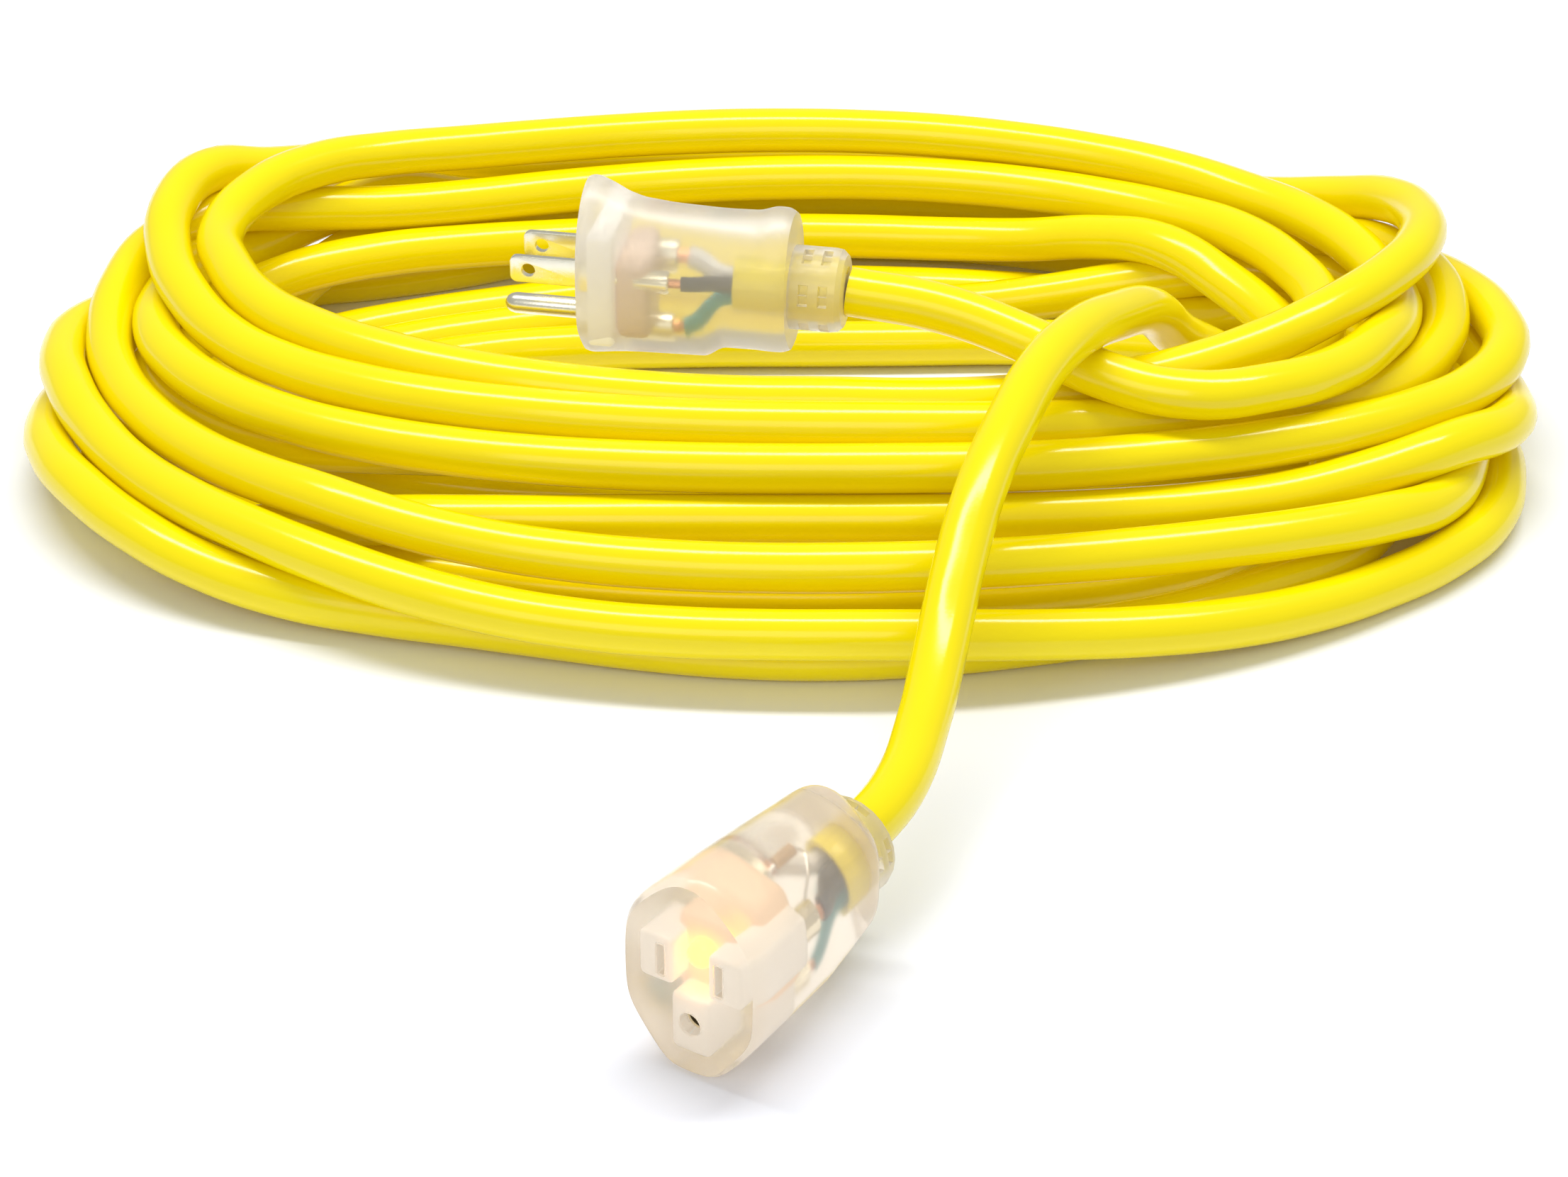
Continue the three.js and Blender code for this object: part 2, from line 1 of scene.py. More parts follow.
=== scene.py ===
"""The looks of an extension cord: its coiled yellow cord, clear moulded plug and lit clear connector."""

import math

import bmesh
import bpy
import numpy as np
from mathutils import Matrix, Vector


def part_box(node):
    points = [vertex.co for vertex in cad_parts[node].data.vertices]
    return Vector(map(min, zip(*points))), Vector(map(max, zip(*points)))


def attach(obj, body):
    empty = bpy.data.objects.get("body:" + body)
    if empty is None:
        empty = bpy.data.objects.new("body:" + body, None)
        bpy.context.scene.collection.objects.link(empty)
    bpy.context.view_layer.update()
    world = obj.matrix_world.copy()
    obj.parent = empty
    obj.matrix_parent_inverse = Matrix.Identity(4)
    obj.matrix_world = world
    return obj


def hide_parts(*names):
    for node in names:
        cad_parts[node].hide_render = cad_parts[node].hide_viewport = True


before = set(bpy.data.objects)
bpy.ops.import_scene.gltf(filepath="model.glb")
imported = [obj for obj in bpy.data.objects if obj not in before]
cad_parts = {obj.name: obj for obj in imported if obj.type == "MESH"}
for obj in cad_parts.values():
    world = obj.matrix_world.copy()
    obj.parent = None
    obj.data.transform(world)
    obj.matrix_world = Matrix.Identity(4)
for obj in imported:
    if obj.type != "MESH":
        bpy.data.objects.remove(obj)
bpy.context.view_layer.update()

MM = 0.001

# The layout's frame: X to the right, Y away, Z up, in millimetres, with zero on the floor.
COIL_CENTRE = (-1.5, 67.5)
coil_low, coil_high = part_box("cord_coil")
ORIGIN = Vector(
    (
        (coil_low.x + coil_high.x) / 2 - COIL_CENTRE[0] * MM,
        (coil_low.y + coil_high.y) / 2 - COIL_CENTRE[1] * MM,
        0,
    )
)


def placed(x, y, z):
    """A point of the layout, in the model's frame and in metres."""
    return ORIGIN + Vector((x, y, z)) * MM


# ---------------------------------------------------------------- camera

CAMERA_PLACE = (0, -775.5, 456.8)
LENS = 94.07
SENSOR = 36
NEAREST, FURTHEST = 0.01, 50  # metres

camera_data = bpy.data.cameras.new("camera")
camera_data.sensor_width = SENSOR
camera_data.lens = LENS
camera_data.clip_start = NEAREST
camera_data.clip_end = FURTHEST
camera = bpy.data.objects.new("camera", camera_data)
bpy.context.scene.collection.objects.link(camera)
camera.location = placed(*CAMERA_PLACE)
camera.rotation_euler = (placed(0, 0, 0) - camera.location).to_track_quat("-Z", "Y").to_euler()
bpy.context.scene.camera = camera

# ---------------------------------------------------------------- the cord's route

CORD_D = 11.0
STEP = 4.0  # between the points that settle
LINK_LENGTH = 20.0  # between the finished curve's points
QUARTER_POINTS = 10  # on a quarter of a turn, as it is laid
FINE_STEP = 1.5  # between the points of the smooth line before they are spaced

ROUNDS = 400  # of settling
PINNED_AT_PLUG = 12  # points at the plug's end that stay as laid
PINNED_AT_CONNECTOR = 56
AIR = 0.25  # between two strands that push each other apart
SEARCH = 6.0  # how far outside a strand its neighbours are looked for
SEARCH_EVERY = 15  # rounds
ALONG_GAP = 2.2  # diameters along the cord within which it doesn't push itself
GIVE = 0.35  # the share of an overlap by which each strand moves
HASTE = 1.6  # how much further than that it goes in one round
STIFFNESS, LAST_STIFFNESS = 0.25, 0.12
LAST_ROUNDS = 0.9  # from this share of the rounds on, the cord bends more freely
HOLD, LEAST_HOLD = 0.05, 0.1  # the pull to where the cord was laid, and the share of it that stays
HOLD_ROUNDS = 0.85  # the share of the rounds over which that pull fades
SINK = 0.004  # how far a round lowers the cord
LENGTH_PASSES = 4  # over the links in each round, to keep their length

# From the plug's collar down into the coil.
PLUG_TAIL = [
    (14.5, 37.5, 54), (25, 35.3, 53.4), (36, 32.4, 52), (47, 28.6, 50.0), (57, 23.6, 47), (67, 17.5, 44.3),
    (78, 12.5, 42.8), (90, 10.5, 41.5), (108, 16, 40), (124, 31, 38), (138, 56, 35),
]
# Out of the coil, over the laid front strands and down to the connector's collar.
CONNECTOR_TAIL = [
    (91, 62, 30), (87, 55, 37.5), (80, 44, 46.5), (73, 31.5, 51), (66, 19, 54.7), (59, 5.5, 56.5),
    (52.5, -8.5, 55.7), (47, -23, 53.2), (42, -36, 49.5), (38, -48, 44), (34.8, -59.5, 37.5), (32, -71.5, 31),
    (29.3, -84, 26.5), (26.5, -97, 23.5), (23, -110, 22), (18.5, -121.5, 21.2), (12.9, -130.4, 21),
]
# Each turn by its front, right, back and left ends, with a quarter of an ellipse between two of them.
# A row marked via is a plain point that the cord passes through.
TURNS = [
    ("right", 143, 80, 32), ("back", 4, 165.5, 36), ("left", -134, 102, 38),

    ("front", 0, 21, 36), ("via", 57, 19, 36), ("via", 67, 22.5, 36), ("via", 78, 27, 37),
    ("via", 101, 34, 41), ("via", 128, 50, 46), ("via", 146, 76, 46.5), ("via", 150, 99, 42.5),
    ("via", 142, 118, 33), ("via", 124, 138, 24), ("via", 80, 162, 20), ("back", 20, 176, 22),
    ("left", -148, 105, 31),

    ("front", 0, 10, 36), ("right", 154, 72, 30), ("back", 15, 170, 16), ("left", -149, 88, 24),

    ("front", 0, -1, 31), ("right", 166.5, 63, 27), ("back", 15, 180, 10), ("left", -148, 72, 14),

    ("front", 0, 15, 25.5), ("right", 126, 75, 29), ("back", 15, 157, 27), ("left", -158, 90, 22),

    ("front", 0, -29, 22.5), ("right", 156, 40, 17), ("back", 15, 168, 6), ("left", -170, 57, 13.5),
    ("via", -150, 12, 16), ("via", -124, -8.5, 12.5),

    ("front", 0, -38, 5.5), ("via", 52, -34, 5.5), ("via", 98, -18.5, 6), ("via", 128, 4, 9.5),
    ("right", 146, 43, 17), ("back", 10, 138, 5.5), ("left", -159, 31, 5.5),

    ("front", 0, -5, 21), ("right", 166.5, 43, 16.5), ("via", 164, 66, 17), ("via", 154, 88, 17),
    ("via", 136, 106, 17), ("via", 110, 118, 14), ("via", 70, 125, 8), ("back", 15, 125, 5.5),
    ("left", -138, 58, 6),

    ("front", 0, -18, 9), ("via", 50, -13, 8), ("via", 88, -1, 7), ("via", 114, 15, 9), ("via", 127, 36, 14),
    ("right", 124, 58, 18), ("back", 15, 147, 16), ("left", -167.5, 83, 20),

    ("front", 0, -43, 14), ("via", 60, -36, 10), ("via", 110, -18, 6.5), ("via", 141, 2, 5.5),
    ("via", 158, 24, 5.5), ("via", 164, 50, 5.5), ("via", 162, 67, 5.5), ("via", 155, 82, 5.5),
    ("via", 145, 96, 5.5), ("via", 124, 105, 5.5), ("via", 90, 108, 5.5), ("via", 50, 107, 5.5),
    ("via", 10, 107, 5.5), ("via", -35, 105.5, 5.5), ("via", -78, 101, 5.5), ("via", -105, 91, 5.5),
    ("via", -117, 72, 5.5), ("via", -109, 53, 5.5), ("via", -84, 39, 5.5), ("via", -40, 32, 5.5),
    ("via", 10, 36, 5.5), ("via", 50, 36, 5.5), ("via", 82, 37, 5.5), ("via", 108, 42, 5.5),
    ("via", 126, 51, 5.5), ("via", 135, 64, 5.5), ("via", 134, 78, 5.8), ("via", 126, 86.5, 7.5),
    ("via", 114, 87, 11.5), ("via", 103, 79.5, 17.5), ("via", 95, 68.5, 24.5),
]


def quarter(start, end, runs_along_x):
    """Points from start towards end on a quarter of an ellipse."""
    points = []
    for i in range(QUARTER_POINTS):
        turn = math.pi / 2 * i / QUARTER_POINTS
        far, near = math.sin(turn), 1 - math.cos(turn)
        if not runs_along_x:
            far, near = near, far
        rise = (1 - math.cos(2 * turn)) / 2
        points.append(
            (
                start[0] + (end[0] - start[0]) * far,
                start[1] + (end[1] - start[1]) * near,
                start[2] + (end[2] - start[2]) * rise,
            )
        )
    return points


def laid_route():
    """The whole route as it is laid, before it settles."""
    points = list(PLUG_TAIL)
    for (kind, *at), (next_kind, *next_at) in zip(TURNS, TURNS[1:]):
        if kind != "via" and next_kind != "via":
            points += quarter(at, next_at, kind in ("front", "back"))
        else:
            points.append(tuple(at))
    points.append(tuple(TURNS[-1][1:]))
    return np.array(points + CONNECTOR_TAIL, float)


def spaced(fine, count):
    """The same line with evenly spaced points."""
    along = np.r_[0, np.cumsum(np.linalg.norm(np.diff(fine, axis=0), axis=1))]
    places = np.linspace(0, along[-1], count)
    return np.stack([np.interp(places, along, fine[:, k]) for k in range(3)], 1)


def line_length(points):
    """The length of the line through the points."""
    return np.linalg.norm(np.diff(points, axis=0), axis=1).sum()


def smooth_line(points):
    """A smooth line through the points, with a point every STEP."""
    points = np.vstack([2 * points[0] - points[1], points, 2 * points[-1] - points[-2]])
    fine = []
    for p0, p1, p2, p3 in zip(points, points[1:], points[2:], points[3:]):
        d0, d1, d2 = (np.linalg.norm(b - a) ** 0.5 for a, b in ((p0, p1), (p1, p2), (p2, p3)))
        leave = ((p1 - p0) / d0 - (p2 - p0) / (d0 + d1) + (p2 - p1) / d1) * d1
        arrive = ((p2 - p1) / d1 - (p3 - p1) / (d1 + d2) + (p3 - p2) / d2) * d1
        for t in np.linspace(0, 1, max(2, int(d1 * d1 / FINE_STEP)), endpoint=False):
            fine.append(
                (2 * t**3 - 3 * t**2 + 1) * p1
                + (t**3 - 2 * t**2 + t) * leave
                + (3 * t**2 - 2 * t**3) * p2
                + (t**3 - t**2) * arrive
            )
    fine = np.array(fine + [points[-2]])
    return spaced(fine, round(line_length(fine) / STEP) + 1)


def near_pairs(line, reach, gap):
    """Pairs of points closer than reach that are more than gap apart along the line."""
    lower, upper = [], []
    for start in range(0, len(line), 256):
        block = line[start : start + 256]
        squares = ((block[:, None, :] - line[None, :, :]) ** 2).sum(2)
        a, b = np.nonzero(squares < reach * reach)
        a = a + start
        apart = b - a > gap
        lower.append(a[apart])
        upper.append(b[apart])
    return np.concatenate(lower), np.concatenate(upper)


def push_apart(line, a, b):
    """How far each point moves because the strands at a and b overlap."""
    between = line[b] - line[a]
    distance = np.linalg.norm(between, axis=1)
    depth = np.clip(CORD_D + AIR - distance, 0, None)
    push = between / np.maximum(distance, 1e-6)[:, None] * (depth * GIVE)[:, None]
    move = np.zeros_like(line)
    touches = np.zeros(len(line))
    np.add.at(move, b, push)
    np.add.at(move, a, -push)
    np.add.at(touches, b, depth > 0)
    np.add.at(touches, a, depth > 0)
    return move / np.maximum(touches, 1)[:, None] * HASTE


def bend_back(line):
    """How far each point moves because the cord is stiff and spreads its bends."""
    sag = np.zeros_like(line)
    for reach in (1, 3):
        sag[reach:-reach] += ((line[: -2 * reach] + line[2 * reach :]) / 2 - line[reach:-reach]) / 2
    bend = np.zeros_like(line)
    bend[3:-3] = sag[3:-3] - (sag[:-6] + sag[6:]) / 2
    return bend


def keep_length(line, weight, rest):
    """Brings every link of the line back towards its length at rest."""
    for _ in range(LENGTH_PASSES):
        for first in (0, 1):
            heads, tails = line[first:-1:2], line[first + 1 :: 2]
            link = tails - heads
            length = np.linalg.norm(link, axis=1, keepdims=True)
            change = link / length * (length - rest) / 2
            heads += change * weight[first:-1:2]
            tails -= change * weight[first + 1 :: 2]


def settled(line):
    """Lets the cord push itself apart where it touches, bend gently, and sink to rest."""
    line = line.copy()
    home = line.copy()
    rest = np.linalg.norm(np.diff(line, axis=0), axis=1).mean()
    free = np.ones(len(line))
    free[:PINNED_AT_PLUG] = 0
    free[len(line) - PINNED_AT_CONNECTOR :] = 0
    weight = free[:, None]
    gap = math.ceil(ALONG_GAP * CORD_D / STEP)
    for turn in range(ROUNDS):
        if turn % SEARCH_EVERY == 0:
            a, b = near_pairs(line, CORD_D + SEARCH, gap)
        line += weight * push_apart(line, a, b)
        line += weight * bend_back(line) * (STIFFNESS if turn < ROUNDS * LAST_ROUNDS else LAST_STIFFNESS)
        line += weight * (home - line) * HOLD * max(LEAST_HOLD, 1 - turn / (ROUNDS * HOLD_ROUNDS))
        line[:, 2] -= free * SINK
        line[:, 2] = np.where(free > 0, np.maximum(line[:, 2], CORD_D / 2), line[:, 2])
        keep_length(line, weight, rest)
    return line


SWELL = 0.008  # the share by which the jacket swells over the wires inside
SWELL_TURN = 2.1  # radians from one point of the curve to the next


def cord_curve(name, line):
    """One round cord along the line, as a curve."""
    count = round(line_length(line) / LINK_LENGTH) + 1
    points = spaced(line, count)
    data = bpy.data.curves.new(name, "CURVE")
    data.dimensions = "3D"
    data.bevel_depth = CORD_D / 2 * MM
    data.bevel_resolution = data.resolution_u = 6
    data.use_fill_caps = True
    spline = data.splines.new("BEZIER")
    spline.bezier_points.add(count - 1)
    for i, (knot, point) in enumerate(zip(spline.bezier_points, points)):
        knot.co = placed(*point)
        knot.handle_left_type = knot.handle_right_type = "AUTO"
        knot.radius = 1 + SWELL * math.sin(i * SWELL_TURN)
    cord = bpy.data.objects.new(name, data)
    bpy.context.scene.collection.objects.link(cord)
    return cord


route = settled(smooth_line(laid_route()))
cord = cord_curve("cord", route)

# ---------------------------------------------------------------- the two moulded ends



def end_frame(face, heading):
    """An end's own frame in millimetres: +Z out of its face, +Y up, zero on the cord's axis."""
    turn = Matrix.Rotation(math.radians(heading), 4, "Z") @ Matrix.Rotation(math.radians(90), 4, "X")
    return Matrix.Translation(placed(*face)) @ turn @ Matrix.Scale(MM, 4)


PLUG = end_frame(face=(-43.4, 48.8, 54), heading=-101)
CONNECTOR = end_frame(face=(-17.2, -175.6, 21.5), heading=-33.7)

BLADE_LINE = 2.0  # the blades' height over the cord's axis
BLADE_OFFSET = 6.35  # from the middle to a blade
PIN_DROP = 11.9  # from the blades down to the ground pin

# A moulding's sections from its rear to its face: distance from the face, top, bottom, half width.
PLUG_SHAPE = [
    (-46.5, 17.2, 14.2, 12.5), (-45.5, 18.2, 14.9, 13.2), (-42, 18.3, 15, 13.3), (-38.5, 17, 15, 12.8),
    (-31, 16.8, 15.2, 12.4), (-27.5, 16.9, 18, 12.4), (-19, 17.2, 18.3, 12.4), (-12, 18, 18.5, 12.6),
    (-8.5, 19.2, 18.7, 12.9), (-5.2, 21, 18.9, 13.8), (-2, 22.3, 19, 14.8), (-0.8, 22.5, 19, 15),
    (0, 22, 18.6, 14.6),
]
CONNECTOR_SHAPE = [
    (-46, 16.4, 16, 12.2), (-44.5, 17.7, 17.4, 13.2), (-38, 18.2, 19.3, 13.8), (-28, 19.2, 21.5, 14.8),
    (-14, 20.6, 21.5, 15.7), (-3, 21.4, 21.5, 16.2), (-1, 21, 21.5, 15.8), (0, 20, 20.5, 14.9),
]
FOOT_SHARE = 0.93  # where the flat underside cuts the round section
SHELL_SIDES = 72
SOFTNESS = 22  # how sharply two flats of a moulding meet
SHARP = math.radians(32)  # edges that turn more than this are left sharp
# The flats round a moulding: the direction of each, and its distance as a share of the round section's.
PLUG_FLATS = [(0, 0.95), (180, 0.95), (-42, 0.93), (-138, 0.93)]
CONNECTOR_FLATS = [(0, 0.95), (180, 0.95), (-38, 0.92), (-142, 0.92), (45, 0.96), (135, 0.96)]


def rounded_reach(x, y, top, bottom, half_width, flats):
    """How far a moulding's outline lies from its axis in the direction x, y."""
    deep = bottom / FOOT_SHARE
    limits = [math.hypot(x / half_width, y / (top if y > 0 else deep)), max(0, -y / bottom)]
    for angle, share in flats:
        across, up = math.cos(math.radians(angle)), math.sin(math.radians(angle))
        furthest = math.hypot(half_width * across, (top if up > 0 else deep) * up)
        limits.append(max(0, (x * across + y * up) / (share * furthest)))
    return sum(limit**SOFTNESS for limit in limits) ** (-1 / SOFTNESS)


def eased_shape(shape, spacing=0.7):
    """More sections between the given ones, with a smooth change from one to the next."""
    given = np.array(shape)
    places = np.linspace(given[0, 0], given[-1, 0], round((given[-1, 0] - given[0, 0]) / spacing) + 1)
    rows = np.stack([np.interp(places, given[:, 0], given[:, k]) for k in range(4)], 1)
    for _ in range(2):
        rows[1:-1, 1:] = rows[1:-1, 1:] / 2 + (rows[:-2, 1:] + rows[2:, 1:]) / 4
    return rows.tolist()


def ring(bm, reach, z):
    """A closed ring of edges at z, whose distance from the axis is reach(x, y)."""
    verts = bmesh.ops.create_circle(bm, segments=SHELL_SIDES, radius=1)["verts"]
    for vert in verts:
        vert.co = vert.co * reach(vert.co.x, vert.co.y)
        vert.co.z = z
    return list({edge for vert in verts for edge in vert.link_edges})


def bridged(bm, rings):
    """Joins the rings in turn and closes both ends of the shell."""
    for near, far in zip(rings, rings[1:]):
        bmesh.ops.bridge_loops(bm, edges=near + far)
    bmesh.ops.holes_fill(bm, edges=rings[0] + rings[-1], sides=0)
    bmesh.ops.recalc_face_normals(bm, faces=bm.faces)


def finished(bm, name, place, material):
    """The finished mesh as an object at the origin, with its place in the mesh."""
    bmesh.ops.transform(bm, matrix=place, verts=bm.verts)
    data = bpy.data.meshes.new(name)
    for face in bm.faces:
        face.smooth = True
    bm.to_mesh(data)
    bm.free()
    data.set_sharp_from_angle(angle=SHARP)
    piece = bpy.data.objects.new(name, data)
    piece.data.materials.append(material)
    bpy.context.scene.collection.objects.link(piece)
    return piece


def standing_in(piece, slot, *nodes):
    """Puts a finished piece on the root body in place of its CAD nodes, which it hides."""
    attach(piece, "root")
    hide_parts(*nodes)


def moulding(bm, shape, flats):
    """The outside of a moulded end, from its rear to its face."""
    rings = []
    for z, top, bottom, half_width in eased_shape(shape):
        rings.append(ring(bm, lambda x, y: rounded_reach(x, y, top, bottom, half_width, flats), z))
    return rings


def cut_from(piece, cutter):
    """Cuts the cutter's shape out of the piece."""
    modifier = piece.modifiers.new("cut", "BOOLEAN")
    modifier.object = cutter
    modifier.operation = "DIFFERENCE"
    modifier.solver = "EXACT"
    bake_modifiers(piece)
    bpy.data.objects.remove(cutter)


def bake_modifiers(piece):
    """Writes the modified shape into the piece's own mesh."""
    bpy.context.view_layer.update()
    shown = piece.evaluated_get(bpy.context.evaluated_depsgraph_get())
    data = bpy.data.meshes.new_from_object(shown)
    data.set_sharp_from_angle(angle=SHARP)
    piece.modifiers.clear()
    piece.data = data


def softened(bm, edges, offset, segments):
    """Rounds the edges."""
    bmesh.ops.bevel(
        bm, geom=edges, offset=offset, affect="EDGES", segments=segments, profile=0.5, material=-1
    )


def rounded_block(bm, width, height, low, high, x, y, edge):
    """A block from low to high along Z with rounded edges."""
    size = Matrix.Diagonal((width, height, high - low, 1))
    place = Matrix.Translation((x, y, (low + high) / 2)) @ size
    verts = bmesh.ops.create_cube(bm, size=1, matrix=place)["verts"]
    softened(bm, list({e for v in verts for e in v.link_edges}), edge, 3)


def turned(bm, profile, x, y, sides=40):
    """A turned solid about an axis along Z, from its profile of (radius, z)."""
    verts = [bm.verts.new((x + radius, y, z)) for radius, z in profile]
    edges = [bm.edges.new(pair) for pair in zip(verts, verts[1:])]
    bmesh.ops.spin(
        bm, geom=verts + edges, cent=(x, y, 0), axis=(0, 0, 1), angle=math.tau, steps=sides, use_merge=True
    )
    bmesh.ops.remove_doubles(bm, verts=bm.verts, dist=1e-4)
    bmesh.ops.recalc_face_normals(bm, faces=bm.faces)


# ---------------------------------------------------------------- materials


class Wire:
    """A socket of a material's nodes. Arithmetic on it adds Math nodes."""

    def __init__(self, tree, socket=None):
        self.tree = tree
        self.socket = socket

    def node(self, kind, settings=None, output=0, **links):
        """A further node: its type, its settings, and its sockets' values or links by name."""
        made = self.tree.nodes.new("ShaderNode" + kind)
        for key, value in (settings or {}).items():
            setattr(made, key, value)
        for key, value in links.items():
            name = key.replace("_", " ")
            socket = made.inputs[int(name[1:])] if name[1:].isdigit() else made.inputs[name]
            if isinstance(value, Wire):
                self.tree.links.new(value.socket, socket)
            else:
                socket.default_value = value
        return Wire(self.tree, made.outputs[output])

    def maths(self, operation, a, b):
        """A Math node on two values or links."""
        return self.node("Math", {"operation": operation}, s0=a, s1=b)

    def __add__(self, other):
        return self.maths("ADD", self, other)

    def __mul__(self, other):
        return self.maths("MULTIPLY", self, other)

    __radd__ = __add__
    __rmul__ = __mul__


def new_material(name, **settings):
    """A material with one Principled BSDF set to the plain values given, its shader and a Wire."""
    material = bpy.data.materials.new(name)
    material.use_nodes = True
    shader = material.node_tree.nodes["Principled BSDF"]
    for key, value in settings.items():
        shader.inputs[key.replace("_", " ")].default_value = value
    return material, shader, Wire(material.node_tree)


def feed(wires, shader, socket, value):
    """Links a value to the shader's socket."""
    wires.tree.links.new(value.socket, shader.inputs[socket])


def grain(wires, scale, detail=3.0):
    """Noise on the object's own coordinates, from 0 to 1."""
    place = wires.node("TexCoord", output="Object")
    return wires.node("TexNoise", Vector=place, Scale=scale, Detail=detail)


BUMP_HEIGHT = 0.0002  # metres


def surface(name, colour, second, rough, rough_change, scale, bump=0.0, bump_scale=1500.0, **settings):
    """A solid surface whose colour and gloss wander a little, with a fine bump."""
    material, shader, wires = new_material(name, **settings)
    noise = grain(wires, scale)
    tint = wires.node(
        "Mix", {"data_type": "RGBA"}, output=2, Factor=noise, s6=(*colour, 1), s7=(*second, 1)
    )
    feed(wires, shader, "Base Color", tint)
    feed(wires, shader, "Roughness", noise * rough_change + (rough - rough_change / 2))
    if bump:
        fine = grain(wires, bump_scale, 2.0)
        relief = wires.node("Bump", output="Normal", Height=fine, Strength=bump, Distance=BUMP_HEIGHT)
        feed(wires, shader, "Normal", relief)
    return material


# The cord's weak orange emission is a painted glow: it warms the shade between the strands toward amber and
# lifts the whole cord.
yellow_vinyl = surface(
    "yellow_vinyl", (0.87, 0.735, 0.0), (0.85, 0.69, 0.0), 0.17, 0.06, 60, 0.06, 1400,
    Specular_IOR_Level=0.4, Emission_Color=(1.0, 0.60, 0.0, 1), Emission_Strength=0.05,
)
# The plug's moulding has no lamp; its weak warm emission is a painted glow that lifts the frosted shell.
clear_vinyl = surface(
    "clear_vinyl", (0.95, 0.91, 0.83), (0.93, 0.88, 0.78), 0.30, 0.08, 90, 0.05, 900,
    Transmission_Weight=0.80, IOR=1.36, Emission_Color=(1.0, 0.94, 0.85, 1), Emission_Strength=0.04,
)
# The connector's moulding: the clear vinyl made warmer and given a warm emission, a painted glow that stands
# for its lamp's light inside the shell.
lit_vinyl = surface(
    "lit_vinyl", (0.97, 0.89, 0.77), (0.94, 0.84, 0.70), 0.25, 0.08, 90, 0.05, 900,
    Transmission_Weight=0.80, IOR=1.36, Emission_Color=(1.0, 0.82, 0.60, 1), Emission_Strength=0.05,
)
blade_brass = surface(
    "blade_brass", (0.95, 0.91, 0.76), (0.90, 0.85, 0.66), 0.26, 0.12, 300, 0.1, 2500, Metallic=1.0
)
bare_copper = surface(
    "bare_copper", (0.80, 0.40, 0.20), (0.70, 0.30, 0.13), 0.32, 0.12, 700, 0.2, 3000, Metallic=1.0
)
carrier_peach = surface("carrier_peach", (0.95, 0.76, 0.62), (0.90, 0.68, 0.53), 0.45, 0.1, 150, 0.1)
# The white carriers' emission is a painted glow that makes them read brighter through the clear mouldings.
carrier_white = surface(
    "carrier_white", (0.97, 0.95, 0.91), (0.95, 0.92, 0.87), 0.45, 0.1, 150, 0.1,
    Emission_Color=(1.0, 0.96, 0.90, 1), Emission_Strength=0.16,
)
# The lamp block's warm emission is a painted glow standing for the lamp's light on it.
carrier_glow = surface(
    "carrier_glow", (0.98, 0.78, 0.60), (0.94, 0.70, 0.50), 0.45, 0.1, 150, 0.1,
    Emission_Color=(1.0, 0.70, 0.45, 1), Emission_Strength=0.16,
)
black_sleeve = surface("black_sleeve", (0.09, 0.08, 0.07), (0.06, 0.055, 0.05), 0.4, 0.1, 300, 0.1)
white_sleeve = surface("white_sleeve", (0.88, 0.87, 0.84), (0.80, 0.79, 0.76), 0.4, 0.1, 300, 0.1)
green_sleeve = surface("green_sleeve", (0.05, 0.40, 0.42), (0.04, 0.32, 0.34), 0.4, 0.1, 300, 0.1)
amber_glass = surface(
    "amber_glass", (1.0, 0.60, 0.15), (1.0, 0.50, 0.08), 0.2, 0.06, 200,
    Transmission_Weight=0.4, Emission_Color=(1.0, 0.60, 0.12, 1), Emission_Strength=1.6,
)
resistor_clay = surface("resistor_clay", (0.65, 0.45, 0.25), (0.55, 0.36, 0.18), 0.5, 0.1, 400, 0.1)
tinned_lead = surface("tinned_lead", (0.80, 0.78, 0.74), (0.70, 0.68, 0.64), 0.3, 0.1, 400, 0.1, Metallic=1.0)
studio_floor = surface("studio_floor", (0.92, 0.94, 1.0), (0.91, 0.93, 0.99), 0.6, 0.04, 8)

cord.data.materials.append(yellow_vinyl)

# ---------------------------------------------------------------- plug

COLLAR_SIDES = 24
# A collar's rings from its rear on: the share of its radius, and the share of its length.
COLLAR_RINGS = [
    (0.62, 0), (0.86, 0.03), (0.97, 0.12), (1.0, 0.25), (1.0, 0.42), (1.0, 0.6), (1.0, 0.78), (1.0, 1.0),
]
WINDOW_ROWS = (3, 5)  # the rings behind the two rows of windows
WINDOW_EDGE = 0.35
WINDOW_DEPTH = 1.2


def collar(bm, radius, low, high):
    """A strain relief: a short round collar with a rounded rear and two rows of small sunken windows."""
    rings = []
    for share, along in COLLAR_RINGS:
        verts = bmesh.ops.create_circle(bm, segments=COLLAR_SIDES, radius=radius * share)["verts"]
        for vert in verts:
            vert.co.z = low + (high - low) * along
        rings.append(list({edge for vert in verts for edge in vert.link_edges}))
    bridged(bm, rings)
    facet = math.tau / COLLAR_SIDES
    for row in WINDOW_ROWS:
        bottom, top = (low + (high - low) * COLLAR_RINGS[k][1] for k in (row, row + 1))
        windows = []
        for face in bm.faces:
            centre = face.calc_center_median()
            # Of every four facets, two side by side are windows.
            place_in_four = round(math.atan2(centre.y, centre.x) / facet - 0.5) % 4
            if bottom < centre.z < top and abs(face.normal.z) < 0.2 and place_in_four in (0, 1):
                windows.append(face)
        bmesh.ops.inset_individual(bm, faces=windows, thickness=WINDOW_EDGE, depth=-WINDOW_DEPTH)


